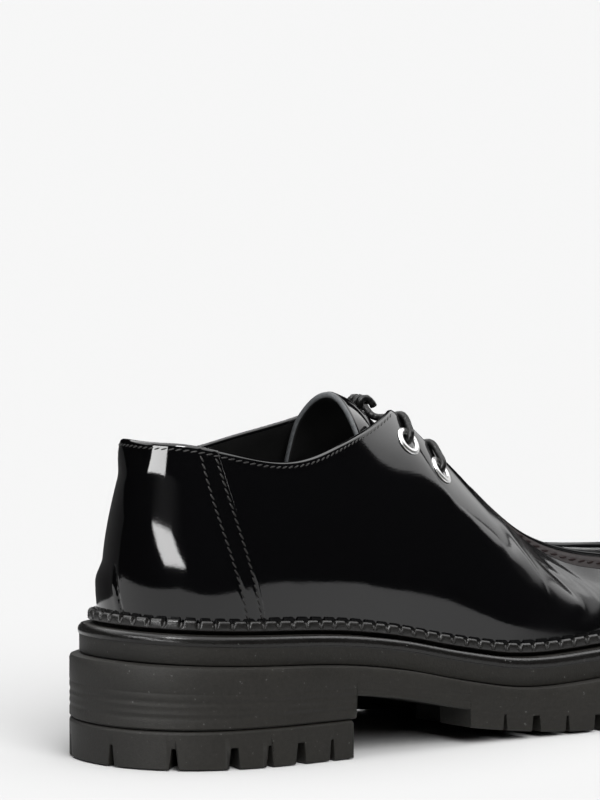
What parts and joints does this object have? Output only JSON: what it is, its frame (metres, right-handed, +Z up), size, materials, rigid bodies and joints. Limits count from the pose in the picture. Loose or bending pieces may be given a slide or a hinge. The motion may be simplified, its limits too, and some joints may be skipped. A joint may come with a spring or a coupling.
{
  "type": "lace-up shoe",
  "caption": "Right apron-toe derby shoe in high-gloss black leather with metal eyelets, thin round laces and a chunky lugged rubber sole.",
  "frame": {"origin": "middle of the sole's footprint, on the floor", "axes": "+X towards the toe, +Y towards the medial (inner) side, +Z up"},
  "size_m": [0.283, 0.1037, 0.105],
  "materials": {
    "sole_rubber": "matte",
    "welt_rubber": "satin",
    "lining_leather": "matte",
    "gloss_leather": "high gloss",
    "polished_nickel": "polished",
    "waxed_cord": "waxed"
  },
  "bodies": {
    "root": {"heel_top_piece": "sole_rubber", "outsole": "sole_rubber", "midsole": "sole_rubber", "welt": "welt_rubber", "insole": "lining_leather", "upper": "gloss_leather", "heel_counter": "gloss_leather", "apron_seam": "gloss_leather", "tongue": "gloss_leather", "eyelet_lateral_upper": "polished_nickel", "eyelet_lateral_lower": "polished_nickel", "eyelet_medial_upper": "polished_nickel", "eyelet_medial_lower": "polished_nickel", "lace_bar_lower": "waxed_cord", "lace_bar_upper_lateral": "waxed_cord", "lace_bar_upper_medial": "waxed_cord", "lace_knot": "waxed_cord"}
  },
  "joints": []
}
